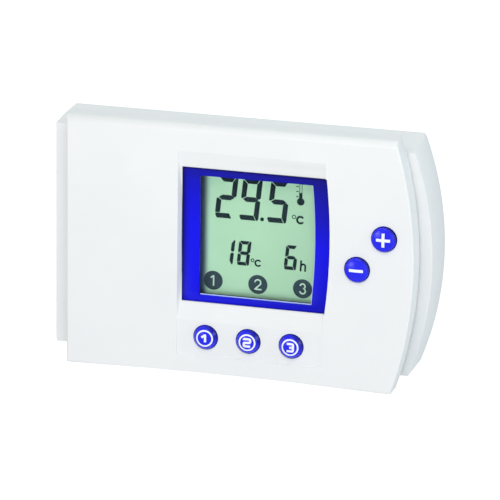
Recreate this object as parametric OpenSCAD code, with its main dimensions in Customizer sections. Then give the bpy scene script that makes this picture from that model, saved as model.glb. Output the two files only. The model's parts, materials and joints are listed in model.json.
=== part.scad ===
// Wall thermostat: a rear housing fixed to the wall and a battery-fed front unit that pulls off it.
// X runs to the right, Z up and Y into the wall. The origin lies on the wall face, midway between the
// two box screws. Depths are measured backwards from the face of the front cover.

/* [Front cover] */
// Height of the front cover
cover_h = 87.5; // [84:0.5:90]
// X of the straight left edge of the cover
cover_left = -59; // [-61:0.5:-58]
// Width of the cover at its top and bottom edges
cover_w = 114; // [113:0.5:117]
// How far the bowed right edge stands out in the middle
bow_rise = 7; // [6:0.25:8]
// Depth of the cover's rim
rim_depth = 8.2; // [7.8:0.1:8.4]
// Wall thickness of the cover
cover_wall = 2; // [1.8:0.1:2.2]
// Rounding of the long top front edge
edge_round = 2.4; // [1:0.1:3]
// How far the middle of the cover's lower edge arches up
arch_rise = 1; // [0.6:0.1:1.2]

/* [Valley] */
// Left edge of the valley that holds the display
valley_left = -19.7; // [-20:0.1:-19.4]
// Right edge of the valley beside the number keys
valley_right = 31.3; // [31:0.1:32]
// Upper edge of the valley
valley_top = 34.5; // [33:0.1:35]
// Lower edge of the flat with the number keys
valley_bottom = -36.7; // [-38:0.1:-36]
// Deepest point of the valley below the face
valley_depth = 2.8; // [2.4:0.1:3]
// Depth of the flat with the number keys
key_flat = 0.35; // [0.3:0.05:0.6]

/* [Display] */
// Left edge of the blue window frame at its corners
bezel_left = -18.3; // [-18.5:0.1:-18]
// Right edge of the frame at its corners
bezel_right = 31.6; // [31.2:0.1:31.8]
// Lower edge of the frame
bezel_bottom = -17.9; // [-18.2:0.1:-17.6]
// Upper edge of the frame
bezel_top = 28.9; // [28.7:0.1:29.3]
// Left edge of the window at its corners
window_left = -12.3; // [-12.6:0.1:-12]
// Right edge of the window at its corners
window_right = 26.8; // [26.5:0.1:27]
// Lower edge of the window
window_bottom = -15.6; // [-15.8:0.1:-15.3]
// Upper edge of the window
window_top = 26.3; // [26:0.1:26.5]

/* [Keys] */
// Radius of the plus and minus keys
sign_key_r = 4.2; // [4:0.1:4.6]
// Radius of the number keys
number_key_r = 4.1; // [3.9:0.1:4.4]
// Radius of a number key at its front, where its sloping flank ends
number_top_r = 3.3; // [3.2:0.1:3.6]
// How far a key stands out at its rim
key_stand = 1.1; // [0.8:0.1:1.4]
// Travel of a key
key_travel = 0.8; // [0.5:0.1:1]

/* [Rear housing] */
// Overall depth from the wall to the cover's face
depth = 27.5; // [27.5:0.25:30]
// X of the left side of the housing
housing_left = -65.5; // [-67:0.5:-65]
// How far the bowed side ledge stands out past the cover
ledge_out = 4.3; // [4:0.1:4.6]
// Height of the rear housing at the wall
housing_h = 81; // [80.8:0.2:81.4]
// How much lower the housing's top is at its front than at the wall
lean_top = 2.3; // [1.9:0.1:2.4]
// How much its underside rises towards its front
lean_bottom = 1; // [0.5:0.1:1.2]
// Gap between the cover's rim and the ledges
seam = 0.6; // [0.4:0.1:0.8]
// Wall thickness of the housing
housing_wall = 2.2; // [2:0.1:2.2]
// Distance between the two box screws
box_screw_pitch = 60; // [59:0.5:61]
// Width between the four wall screws
wall_screw_w = 108; // [107:0.5:108]
// Height between the four wall screws
wall_screw_h = 60; // [58:0.5:60]

/* [Hidden] */
$fn = 64;
fine = 360;              // facets of the large arcs
eps = 0.01;
far = 200;               // longer than the object in every direction
white = [0.93, 0.94, 0.96];
blue = [0.1, 0.1, 0.85];
black = [0.08, 0.08, 0.09];
steel = [0.72, 0.73, 0.75];
tin = [0.8, 0.8, 0.78];
brass = [0.8, 0.65, 0.3];

// The bow of the right side
half_h = cover_h / 2;
bow_r = (half_h * half_h + bow_rise * bow_rise) / (2 * bow_rise);
bow_x = cover_left + cover_w + bow_rise - bow_r;
under_round = 0.8;       // rounding of the long bottom front edge
arch_half = 56;          // half the width of the lower edge's arch
arch_x = -3;
side_round = 0.9;        // rounding of the cover's left front edge
bow_round = 0.6;         // rounding of the cover's right front edge
side_r = 110.5;          // radius of the housing's bowed right side
side_x = cover_left + cover_w + bow_rise + ledge_out - side_r;
housing_round = 2.5;     // corner rounding of the housing
outline_spare = 0.3;     // how far the housing's outline reaches past its leaning top and underside

// The valley: part of a large cylinder lying along X
flat_start = -24.5;      // Z where the valley meets the key flat
root_up = sqrt(valley_depth);
root_down = sqrt(valley_depth - key_flat);
valley_z = (valley_top * root_down + flat_start * root_up) / (root_up + root_down);
valley_r = pow(valley_top - valley_z, 2) / (2 * valley_depth) + valley_depth / 2;
valley_draft = 1.1;      // how far the valley's left wall leans
backing = 2.8;           // thickness of the wall behind the valley
backing_out = 1.6;
backing_bottom = -24.4;
pocket = 1.3;            // depth of the bezel's pocket below the valley floor
bezel_proud = 0.25;
bezel_back = 1.28;
bezel_rise = [0.5, 1.4]; // bow of the bezel's left and right edges
window_rise = [0.3, 0.7];
lens_lap = 1.2;          // overlap of the lens behind the bezel
lens_front = 0.62;
lens_back = 1.26;

// Key places, X and Z
plus_at = [51.7, 10.3];
minus_at = [42.7, -1.05];
number_at = [[-9.5, -30], [5.4, -30], [20.4, -30.2]];
sign_at = [plus_at, minus_at];
key_gap = 0.3;
key_seat = 0.2;          // how far a number key's flank starts in front of the key flat
sign_taper = 0.2;
flange_r = 5.6;
flange_front = 2.1;
flange_back = 3.3;
stem_r = 2;
plunger_front = 5.9;
plunger_back = 8;
plunger_r = 1.7;
switch_front = 6.8;
switch_bore_end = plunger_back + key_travel + 0.4;
switch_w = 6;
number_dome = 0.35;
sign_dome = 0.55;

// Main board
board_front = 10.2;
board_back = 11.8;
board_left = -49.6;
board_top = 30.4;
board_bottom = -29;
board_r = bow_r - 6.56;
tab = [-16, 27, -35];    // left, right and lower edge of the key tab
board_screw_at = [[-45, 26], [-45, -24], [46, 26], [45, -24]];
boss_r = 2.6;
pilot_r = 1.05;
shank_r = 1;
clear_r = 1.2;

// LCD cell
glass_x = [-16, 31];
front_glass = [-19.2, 29.2, 6.6, 7.7];   // low Z, high Z, front and back depth
back_glass = [-16.6, 26.6, 7.7, 8.8];
reflector = [-16.6, 26.6, 8.8, 9.1];
view = [-13.6, 27.4, -16.3, 27.3];        // the holder's opening: left, right, bottom, top
holder = [-17.4, 32.4, -20.4, 30.3];
holder_front = 5.9;
strip_w = 1.8;

// Chassis
chassis_front = 6.7;
chassis_wall = 1.2;
tray_gap = 0.2;
tray_back = 14.2;
chassis_screw_at = [[-46, 34.2], [44, 34.2], [-46, -33.6], [44, -33.6]];
head_r = 2;
head_h = 1.4;
relay_box = [26, 46, -22, -12];
relay_back = 21.85;
relay_bay_gap = 0.6;
chip_at = [-25, 9];
chip_w = 10;
chip_t = 1.1;
chip_legs = 11;
chip_pitch = 0.8;
chip_leg_w = 0.4;
chip_leg_l = 1;
crystal_at = [-30, -8];
crystal_l = 8;
crystal_r = 1.1;
capacitor_at = [-34, -20];
capacitor_r = 3.1;
capacitor_h = 4.6;
capacitor_foot = 0.4;
bead_at = [-38, 18];
bead_r = 1.4;
bead_stand = 3;
pin_x = [-8, 0, 8];
pin_z = 28.9;
pin_r = 0.5;
pin_end = 20;

// Batteries: two AAA cells side by side
cell_r = 5.25;
cell_body = 43.6;
nub_r = 1.9;
nub_l = 0.9;
bay_x = [-49, -0.6];
bay_z = [-28.6, -6.4];
bay_back = 24.6;
cell_z = [-12, -23];
cell_depth = tray_back + 0.1 + cell_r;
plate_t = 0.4;
plate_left = bay_x[0] + 0.1;
plate_right = bay_x[1] - 0.1;
spring_l = plate_right - plate_left - 2 * plate_t - cell_body - nub_l;
wire_r = 0.3;
wire_sides = 8;
coil_r = [3.6, 2.2];     // at the foot and at the tip
coil_turns = 2.5;
coil_steps = 40;

// Rear housing
ledge_front = rim_depth + seam;
ledge_t = 2;
floor_front = depth - 2;
opening_left = -55.5;
opening_r = bow_r - 4.5;
opening_h = 73.2;
screw_hole_r = 2.1;
slot_l = 8.2;
cable_entry = [-13, 13, -3, 13];
vent_count = 11;
vent_pitch = 7;
vent_w = 2;
vent_depths = [11.8, 17.2];
vent_reach = 6;
pole_x = [-8, 0, 8];
block_box = [-12.6, 12.6, 14.6, 26.8];
block_front = 15;
ear_x = 15.4;
ear_z = 20.5;
ear_r = 2.4;
ear_depths = [19.7, 21.5];
socket_box = [-11, 11, 27.2, 31.4];

// ---- helpers ----

// Extrudes an outline drawn in X and Z between two depths behind the cover's face
module slab(front, back) {
    translate([0, back - depth, 0])
        rotate([90, 0, 0])
            linear_extrude(height = back - front)
                children();
}

// A box between two X, two Z and two depths
module block(x, z, front, back) {
    translate([x[0], front - depth, z[0]])
        cube([x[1] - x[0], back - front, z[1] - z[0]]);
}

// A round bar along Y
module rod(at, r, front, back) {
    translate([at[0], back - depth, at[1]])
        rotate([90, 0, 0])
            cylinder(h = back - front, r = r);
}

// A rectangle given by its left, right, lower and upper edges
module edges(left, right, low, high) {
    translate([left, low])
        square([right - left, high - low]);
}

// A rectangle whose right side is an arc, as a rule about the cover's bow centre
module bowed(left, low, high, r, centre = bow_x) {
    intersection() {
        edges(left, centre + r + 1, low, high);
        translate([centre, 0])
            circle(r, $fn = fine);
    }
}

// A rectangle whose left and right sides bulge by two rises from its corners
module bulged(left, right, low, high, rises) {
    half = (high - low) / 2;
    r = [for (rise = rises) (half * half + rise * rise) / (2 * rise)];
    intersection() {
        edges(left - rises[0] - 1, right + rises[1] + 1, low, high);
        translate([left - rises[0] + r[0], (low + high) / 2])
            circle(r[0], $fn = fine);
        translate([right + rises[1] - r[1], (low + high) / 2])
            circle(r[1], $fn = fine);
    }
}

// Everything in front of the valley's cylinder, sunk by an extra depth
module valley(extra) {
    translate([-far / 2, valley_depth - depth - valley_r, valley_z])
        rotate([0, 90, 0])
            cylinder(h = far, r = valley_r + extra, $fn = fine);
}

// The part of an outline between two depths that follow the valley's curve
module curved_slab(front, back) {
    difference() {
        intersection() {
            slab(-1, rim_depth + 4) children();
            valley(back);
        }
        valley(front);
    }
}

// A small screw from behind: head, shank and driver slot
module back_screw(at, seat, tip) {
    difference() {
        union() {
            rod(at, head_r - 0.1, seat, seat + head_h - 0.4);
            rod(at, shank_r, tip, seat + eps);
        }
        translate([at[0] - 0.25, seat + head_h - 0.9 - depth, at[1] - head_r])
            cube([0.5, 1, 2 * head_r]);
    }
}

// A screw driven from the front
module front_screw(at, seat, tip, r) {
    difference() {
        union() {
            rod(at, r, seat - 1.4, seat);
            rod(at, shank_r, seat - eps, tip);
        }
        translate([at[0] - r, seat - 1.9 - depth, at[1] - 0.3])
            cube([2 * r, 1, 0.6]);
    }
}

// ---- front cover ----

module bezel_outline(grow) {
    bulged(bezel_left - grow, bezel_right + grow, bezel_bottom - grow, bezel_top + grow, bezel_rise);
}

module window_outline(grow) {
    bulged(window_left - grow, window_right + grow, window_bottom - grow, window_top + grow, window_rise);
}

module valley_outline(grow) {
    edges(valley_left - grow, valley_right + grow, valley_bottom, valley_top + grow);
    bezel_outline(0.15 + grow);
}

// Top and bottom front edges, as a profile in depth and Z
module rounded_side_profile() {
    for (edge = [[1, edge_round], [-1, under_round]])
        intersection() {
            translate([-depth, edge[0] > 0 ? -eps : -half_h])
                square([rim_depth, half_h + eps]);
            union() {
                translate([-depth + edge[1], -half_h])
                    square([rim_depth - edge[1], cover_h]);
                translate([-depth, edge[1] - half_h])
                    square([rim_depth, cover_h - 2 * edge[1]]);
                translate([-depth + edge[1], edge[0] * (half_h - edge[1])])
                    circle(edge[1]);
            }
        }
}

// The shallow arch of the cover's lower edge
module under_arch() {
    r = (arch_half * arch_half + arch_rise * arch_rise) / (2 * arch_rise);
    rod([arch_x, arch_rise - half_h - r], r, -1, rim_depth + 1, $fn = fine);
}

module cover_body() {
    intersection() {
        translate([-far / 2, 0, 0])
            rotate([90, 0, 90])
                linear_extrude(height = far)
                    rounded_side_profile();
        translate([bow_x, rim_depth - depth, 0])
            rotate([90, 0, 0])
                rotate_extrude($fn = fine)
                    union() {
                        square([bow_r - bow_round, rim_depth]);
                        square([bow_r, rim_depth - bow_round]);
                        translate([bow_r - bow_round, rim_depth - bow_round])
                            circle(bow_round, $fn = 24);
                    }
        translate([0, 0, -far / 2])
            linear_extrude(height = far)
                union() {
                    translate([cover_left + side_round, -depth])
                        square([far, rim_depth]);
                    translate([cover_left, -depth + side_round])
                        square([far, rim_depth - side_round]);
                    translate([cover_left + side_round, -depth + side_round])
                        circle(side_round, $fn = 24);
                }
    }
}

// The lean of the valley's left wall
module right_of_draft() {
    translate([valley_left, -depth, -far / 2])
        rotate([0, 0, -atan(valley_draft / valley_depth)])
            translate([0, -far / 4, 0])
                cube([far, far / 2, far]);
}

module valley_cut() {
    intersection() {
        right_of_draft();
        union() {
            intersection() {
                slab(-1, rim_depth) valley_outline(0);
                valley(0);
            }
            slab(-1, key_flat)
                edges(valley_left, valley_right, valley_bottom, flat_start + 1);
        }
    }
}

module cover_cavity() {
    difference() {
        slab(cover_wall, rim_depth + 1)
            bowed(cover_left + cover_wall, cover_wall - half_h, half_h - cover_wall, bow_r - cover_wall);
        intersection() {
            slab(0, rim_depth)
                intersection() {
                    valley_outline(backing_out);
                    edges(-far / 2, far / 2, backing_bottom, far / 2);
                }
            valley(backing);
        }
    }
}

module cover_bosses() {
    for (at = board_screw_at)
        rod(at, boss_r, cover_wall - eps, board_front);
    for (at = chassis_screw_at)
        rod(at, boss_r, cover_wall - eps, chassis_front);
}

module front_cover() {
    color(white)
        difference() {
            union() {
                difference() {
                    cover_body();
                    cover_cavity();
                }
                cover_bosses();
            }
            valley_cut();
            under_arch();
            intersection() {
                slab(-1, rim_depth) bezel_outline(0.1);
                valley(pocket);
            }
            slab(-1, rim_depth) window_outline(1.4);
            for (at = sign_at)
                rod(at, sign_key_r + key_gap, -1, cover_wall + 1);
            for (at = number_at)
                rod(at, number_key_r + key_gap, -1, cover_wall + 1);
            for (at = board_screw_at)
                rod(at, pilot_r, 4, board_front + 1);
            for (at = chassis_screw_at)
                rod(at, pilot_r, 3, chassis_front + 1);
        }
}

// ---- display ----

module lcd_bezel() {
    color(blue)
        difference() {
            curved_slab(-bezel_proud, bezel_back) bezel_outline(0);
            curved_slab(lens_front - 0.02, far / 4) window_outline(lens_lap);
            slab(-1, rim_depth) window_outline(0);
        }
}

module lcd_lens() {
    color([0.9, 0.95, 1, 0.3])
        curved_slab(lens_front, lens_back) window_outline(lens_lap - 0.05);
}

module lcd_holder() {
    color(black)
        difference() {
            block([holder[0], holder[1]], [holder[2], holder[3]], holder_front, board_front);
            block([view[0], view[1]], [view[2], view[3]], holder_front - 1, front_glass[2] + 1);
            block([glass_x[0] - 0.1, glass_x[1] + 0.1], [front_glass[0] - 0.1, front_glass[1] + 0.1],
                front_glass[2] - 0.02, board_front + 1);
        }
}

module glass_plate(spec) {
    block(glass_x, [spec[0], spec[1]], spec[2], spec[3]);
}

module lcd_front_glass() {
    color([0.75, 0.85, 0.78, 0.6]) glass_plate(front_glass);
}

module lcd_back_glass() {
    color([0.7, 0.82, 0.75, 0.6]) glass_plate(back_glass);
}

module lcd_reflector() {
    color([0.66, 0.8, 0.7]) glass_plate(reflector);
}

module lcd_connectors() {
    strip_x = [glass_x[0] + 1, glass_x[1] - 1];
    color([0.5, 0.5, 0.52]) {
        block(strip_x, [front_glass[0] + 0.2, front_glass[0] + 0.2 + strip_w], front_glass[3], board_front);
        block(strip_x, [front_glass[1] - 0.4 - strip_w, front_glass[1] - 0.4], front_glass[3], board_front);
    }
}

// ---- keys ----

// A key: domed cap, tapering flank, flange behind the cover and stem on its switch
module key(at, r, top_r, foot, dome) {
    dome_r = (top_r * top_r + dome * dome) / (2 * dome);
    tip_r = top_r - (r - top_r) * dome / key_stand;
    color(blue)
        intersection() {
            union() {
                rod(at, r, foot, flange_front + eps);
                rod(at, flange_r, flange_front, flange_back);
                rod(at, stem_r, flange_back - eps, plunger_front);
                translate([at[0], foot - depth, at[1]])
                    rotate([90, 0, 0])
                        cylinder(h = key_stand + dome, r1 = r, r2 = tip_r);
            }
            translate([at[0], foot - key_stand - dome + dome_r - depth, at[1]])
                rotate([90, 0, 0])
                    sphere(dome_r, $fn = 128);
        }
}

module plunger(at) {
    color([0.85, 0.83, 0.75]) rod(at, plunger_r, plunger_front, plunger_back);
}

module sign_key(at) {
    key(at, sign_key_r, sign_key_r - sign_taper, 0, sign_dome);
}

module number_key(at) {
    key(at, number_key_r, number_top_r, key_flat - key_seat, number_dome);
}

module plus_key() {
    sign_key(plus_at);
}

module minus_key() {
    sign_key(minus_at);
}

module key_1() {
    number_key(number_at[0]);
}

module key_2() {
    number_key(number_at[1]);
}

module key_3() {
    number_key(number_at[2]);
}

module switch_bodies() {
    color(black)
        for (at = concat(sign_at, number_at))
            difference() {
                block([at[0] - switch_w / 2, at[0] + switch_w / 2],
                    [at[1] - switch_w / 2, at[1] + switch_w / 2], switch_front, board_front);
                rod(at, plunger_r + 0.1, switch_front - 1, switch_bore_end);
            }
}

// ---- electronics ----

module board_outline(grow) {
    bowed(board_left - grow, board_bottom - grow, board_top + grow, board_r + grow);
    edges(tab[0] - grow, tab[1] + grow, tab[2] - grow, board_bottom + 1);
}

module main_board() {
    color([0.1, 0.42, 0.2])
        difference() {
            slab(board_front, board_back) board_outline(0);
            for (at = board_screw_at)
                rod(at, clear_r, board_front - 1, board_back + 1);
        }
}

module board_screws() {
    color(steel)
        for (at = board_screw_at)
            back_screw(at, board_back, 6);
}

// A flat chip on the back of the board with a row of legs along its top and its bottom
module controller_chip() {
    half = chip_w / 2;
    color(black)
        block([chip_at[0] - half, chip_at[0] + half], [chip_at[1] - half, chip_at[1] + half],
            board_back, board_back + chip_t);
    color(tin)
        for (side = [-1, 1], i = [0:chip_legs - 1]) {
            leg_x = chip_at[0] + (i - (chip_legs - 1) / 2) * chip_pitch;
            leg_z = chip_at[1] + side * (half + chip_leg_l / 2);
            block([leg_x - chip_leg_w / 2, leg_x + chip_leg_w / 2],
                [leg_z - chip_leg_l / 2, leg_z + chip_leg_l / 2], board_back, board_back + chip_leg_w / 2);
        }
}

module clock_crystal() {
    color(steel)
        translate([crystal_at[0], board_front - crystal_r - depth, crystal_at[1]])
            rotate([0, 90, 0])
                cylinder(h = crystal_l, r = crystal_r);
}

module capacitor() {
    foot = capacitor_r + 0.1;
    color(black) {
        rod(capacitor_at, capacitor_r, board_front - capacitor_h, board_front - capacitor_foot);
        block([capacitor_at[0] - foot, capacitor_at[0] + foot],
            [capacitor_at[1] - foot, capacitor_at[1] + foot], board_front - capacitor_foot, board_front);
    }
}

module relay() {
    color([0.9, 0.9, 0.88])
        difference() {
            block([relay_box[0], relay_box[1]], [relay_box[2], relay_box[3]], board_back, relay_back);
            rod([relay_box[0] + 2, relay_box[2] + 2], 0.6, relay_back - 0.5, relay_back + 1);
        }
}

// A bead on two wires that holds it off the board
module thermistor() {
    color([0.15, 0.15, 0.18])
        translate([bead_at[0], board_front - bead_stand - depth, bead_at[1]])
            sphere(bead_r);
    color(tin)
        for (side = [-1, 1])
            rod([bead_at[0] + side * bead_r / 2, bead_at[1]], 0.25, board_front - bead_stand, board_front);
}

module pin_header() {
    color(black)
        difference() {
            block([-10, 10], [pin_z - 1.2, pin_z + 1.2], board_back, board_back + 1.6);
            for (x = pin_x)
                rod([x, pin_z], pin_r + 0.05, board_back - 1, board_back + 3);
        }
}

module link_pins() {
    color(brass)
        for (x = pin_x)
            rod([x, pin_z], pin_r, board_back, pin_end);
}

// ---- chassis and batteries ----

module chassis_bay_walls() {
    block([bay_x[0] - chassis_wall, bay_x[1] + chassis_wall],
        [bay_z[0] - chassis_wall, bay_z[1] + chassis_wall], tray_back - eps, bay_back);
    block([relay_box[0] - relay_bay_gap - chassis_wall, relay_box[1] + relay_bay_gap + chassis_wall],
        [relay_box[2] - relay_bay_gap - chassis_wall, relay_box[3] + relay_bay_gap + chassis_wall],
        tray_back - eps, relay_back + relay_bay_gap + chassis_wall);
}

module chassis_cuts() {
    slab(chassis_front - 1, tray_back - 1) board_outline(tray_gap);
    block(bay_x, bay_z, tray_back, bay_back + 1);
    block([relay_box[0] - relay_bay_gap, relay_box[1] + relay_bay_gap],
        [relay_box[2] - relay_bay_gap, relay_box[3] + relay_bay_gap],
        tray_back - 2, relay_back + relay_bay_gap);
    block([-10.6, 10.6], [pin_z - 1.5, pin_z + 1.5], tray_back - 2, tray_back + 1);
    for (at = chassis_screw_at)
        rod(at, clear_r, chassis_front - 1, rim_depth + 1);
    for (z = cell_z)
        block([bay_x[1] - 0.7, bay_x[1]], [z - 1.2, z + 1.2], tray_back - 2, tray_back + 1);
    block([bay_x[0], bay_x[0] + 0.7], [cell_z[1] - 1.2, cell_z[1] + 1.2], tray_back - 2, tray_back + 1);
}

module chassis() {
    color([0.88, 0.89, 0.9])
        difference() {
            union() {
                slab(chassis_front, rim_depth)
                    bowed(cover_left + cover_wall + 0.1, cover_wall + 0.1 - half_h,
                        half_h - cover_wall - 0.1, bow_r - cover_wall - 0.1);
                slab(chassis_front, tray_back) board_outline(tray_gap + chassis_wall);
                chassis_bay_walls();
            }
            chassis_cuts();
        }
}

module chassis_screws() {
    color(steel)
        for (at = chassis_screw_at)
            back_screw(at, rim_depth, 4);
}

// An AAA cell; side is 1 with its nub to the right and -1 with its nub to the left
module cell(side, z) {
    nub_tip = side > 0 ? plate_right - plate_t : plate_left + plate_t;
    body_end = nub_tip - side * nub_l;
    translate([body_end, cell_depth - depth, z])
        rotate([0, -90 * side, 0])
            cylinder(h = cell_body, r = cell_r);
    translate([nub_tip, cell_depth - depth, z])
        rotate([0, -90 * side, 0])
            cylinder(h = nub_l + eps, r = nub_r);
}

module battery_upper() {
    color([0.2, 0.22, 0.25]) cell(1, cell_z[0]);
}

module battery_lower() {
    color([0.2, 0.22, 0.25]) cell(-1, cell_z[1]);
}

// A tapered wire coil along X, from its wide foot on a plate to its narrow tip on the cell
function coil_point(s, side) = let (a = 360 * coil_turns * s, r = coil_r[0] + (coil_r[1] - coil_r[0]) * s)
    [side * (wire_r + (spring_l - 2 * wire_r) * s), r * cos(a), r * sin(a)];

function wire_ring(s, side) = let (p = coil_point(s, side), a = 360 * coil_turns * s)
    [for (k = [0:wire_sides - 1]) let (b = 360 * k / wire_sides)
        p + wire_r * [side * cos(b), sin(b) * cos(a), sin(b) * sin(a)]];

module coil(side) {
    points = [for (i = [0:coil_steps]) each wire_ring(i / coil_steps, side)];
    walls = [for (i = [0:coil_steps - 1], k = [0:wire_sides - 1])
        let (n = (k + 1) % wire_sides, a = i * wire_sides, b = a + wire_sides)
            [a + k, b + k, b + n, a + n]];
    first = [for (k = [0:wire_sides - 1]) k];
    last = [for (k = [wire_sides - 1:-1:0]) coil_steps * wire_sides + k];
    faces = concat(walls, [first, last]);
    polyhedron(points, side > 0 ? faces : [for (f = faces) [for (k = [len(f) - 1:-1:0]) f[k]]]);
}

module battery_springs() {
    color(steel) {
        translate([plate_left + plate_t, cell_depth - depth, cell_z[0]])
            coil(1);
        translate([plate_right - plate_t, cell_depth - depth, cell_z[1]])
            coil(-1);
    }
}

module battery_plates() {
    left = [plate_left, plate_left + plate_t];
    right = [plate_right - plate_t, plate_right];
    color(tin) {
        block(left, [cell_z[1] - 4.6, cell_z[0] + 4.6], tray_back + 0.6, bay_back - 0.4);
        block(left, [cell_z[1] - 1, cell_z[1] + 1], board_back, tray_back + 0.6 + eps);
        for (z = cell_z) {
            block(right, [z - 4.6, z + 4.6], tray_back + 0.6, bay_back - 0.4);
            block(right, [z - 1, z + 1], board_back, tray_back + 0.6 + eps);
        }
    }
}

// ---- rear housing ----

module housing_outline() {
    half = housing_h / 2 + outline_spare;
    arc_z = half - housing_round;
    arc_x = side_x + sqrt(pow(side_r - housing_round, 2) - arc_z * arc_z);
    tip_x = side_x + (arc_x - side_x) * side_r / (side_r - housing_round);
    tip_z = arc_z * side_r / (side_r - housing_round);
    difference() {
        intersection() {
            bowed(housing_left - 1, -half - 1, half + 1, side_r, side_x);
            union() {
                edges(housing_left + housing_round, far / 2, -half, half);
                edges(housing_left, far / 2, -arc_z, arc_z);
                for (side = [-1, 1])
                    translate([housing_left + housing_round, side * arc_z])
                        circle(housing_round);
            }
        }
        for (side = [-1, 1])
            difference() {
                polygon([[arc_x, side * arc_z], [arc_x, side * (half + 1)],
                    [tip_x + 1, side * (half + 1)], [tip_x + 1, side * tip_z], [tip_x, side * tip_z]]);
                translate([arc_x, side * arc_z])
                    circle(housing_round);
            }
    }
}

// A long bar along X between the leaning top and underside of the housing, drawn in by an inset
module leaning_bar(inset) {
    half = housing_h / 2 - inset;
    run = depth - ledge_front;
    translate([-far / 2, 0, 0])
        rotate([90, 0, 90])
            linear_extrude(height = far)
                polygon([for (p = [[1, 1], [1, -1], [-2, -1], [-2, 1]])
                    [p[0] * run, p[1] * (half + p[0] * (p[1] > 0 ? lean_top : lean_bottom))]]);
}

module housing_shell() {
    half = housing_h / 2;
    difference() {
        intersection() {
            slab(ledge_front, depth) housing_outline();
            leaning_bar(0);
        }
        intersection() {
            slab(ledge_front + ledge_t, floor_front)
                bowed(housing_left + housing_wall, -half, half, side_r - housing_wall, side_x);
            leaning_bar(housing_wall);
        }
        slab(ledge_front - 1, ledge_front + ledge_t + 1)
            bowed(opening_left, -opening_h / 2, opening_h / 2, opening_r);
    }
}

function vent_x(i) = (i - (vent_count - 1) / 2) * vent_pitch;

module housing_holes() {
    for (x = [-box_screw_pitch / 2, box_screw_pitch / 2]) {
        for (end = [-1, 1])
            rod([x + end * (slot_l / 2 - screw_hole_r), 0], screw_hole_r, floor_front - 1, depth + 1);
        block([x - slot_l / 2 + screw_hole_r, x + slot_l / 2 - screw_hole_r],
            [-screw_hole_r, screw_hole_r], floor_front - 1, depth + 1);
    }
    for (x = [-wall_screw_w / 2, wall_screw_w / 2], z = [-wall_screw_h / 2, wall_screw_h / 2])
        rod([x, z], screw_hole_r, floor_front - 1, depth + 1);
    block([cable_entry[0], cable_entry[1]], [cable_entry[2], cable_entry[3]], floor_front - 1, depth + 1);
    for (i = [0:vent_count - 1], side = [-1, 1])
        block([vent_x(i) - vent_w / 2, vent_x(i) + vent_w / 2],
            [side * housing_h / 2 - vent_reach, side * housing_h / 2 + vent_reach],
            vent_depths[0], vent_depths[1]);
    for (side = [-1, 1])
        rod([side * ear_x, ear_z], pilot_r, ear_depths[1] - 1, depth - 0.8);
}

module rear_housing() {
    color(white)
        difference() {
            union() {
                housing_shell();
                for (side = [-1, 1])
                    rod([side * ear_x, ear_z], ear_r, ear_depths[1], floor_front + eps);
            }
            housing_holes();
        }
}

module terminal_block() {
    color([0.2, 0.35, 0.3])
        difference() {
            union() {
                block([block_box[0], block_box[1]], [block_box[2], block_box[3]], block_front, floor_front);
                block([-ear_x - ear_r, ear_x + ear_r], [ear_z - ear_r, ear_z + ear_r], ear_depths[0],
                    ear_depths[1]);
            }
            for (x = pole_x) {
                block([x - 3.2, x + 3.2], [ear_z - 3.6, ear_z + 3.2], 17.6, 24.6);
                rod([x, ear_z], 2.1, block_front - 1, 18);
                translate([x, 22.4 - depth, block_box[2] - 1])
                    cylinder(h = 5, r = 1.5);
            }
            for (side = [-1, 1])
                rod([side * ear_x, ear_z], clear_r, ear_depths[0] - 1, ear_depths[1] + 1);
        }
}

module terminal_clamps() {
    color(brass)
        for (x = pole_x)
            difference() {
                block([x - 3, x + 3], [ear_z - 3, ear_z + 3], 17.8, 24.4);
                block([x - 2.2, x + 2.2], [ear_z - 4, ear_z + 4], 19.4, 23.6);
                rod([x, ear_z], pilot_r, 17, 20);
            }
}

module terminal_screws() {
    color(steel)
        for (x = pole_x)
            front_screw([x, ear_z], 17.8, 20.6, 1.9);
}

module link_socket() {
    color(black)
        difference() {
            block([socket_box[0], socket_box[1]], [socket_box[2], socket_box[3]], 15.2, floor_front);
            for (x = pin_x)
                rod([x, pin_z], 0.82, 14, 22);
        }
}

module link_contacts() {
    color(brass)
        for (x = pin_x)
            difference() {
                rod([x, pin_z], 0.8, 15.6, 21.6);
                rod([x, pin_z], 0.58, 15, 22);
            }
}

module block_screws() {
    color(steel)
        for (side = [-1, 1])
            front_screw([side * ear_x, ear_z], ear_depths[0], 25.6, head_r);
}

rear_housing();
terminal_block();
terminal_clamps();
terminal_screws();
link_socket();
link_contacts();
block_screws();
front_cover();
lcd_bezel();
lcd_lens();
lcd_holder();
lcd_front_glass();
lcd_back_glass();
lcd_reflector();
lcd_connectors();
main_board();
board_screws();
controller_chip();
clock_crystal();
capacitor();
relay();
thermistor();
pin_header();
link_pins();
switch_bodies();
chassis();
chassis_screws();
battery_upper();
battery_lower();
battery_springs();
battery_plates();
plus_key();
minus_key();
key_1();
key_2();
key_3();
plunger(plus_at);  // plus_plunger
plunger(minus_at);  // minus_plunger
plunger(number_at[0]);  // plunger_1
plunger(number_at[1]);  // plunger_2
plunger(number_at[2]);  // plunger_3
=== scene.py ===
"""Looks of the wall thermostat: materials, printed marks, display symbols, lights and camera."""

import json
import math

import bmesh
import bpy
from mathutils import Matrix, Vector
from mathutils.bvhtree import BVHTree


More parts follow.
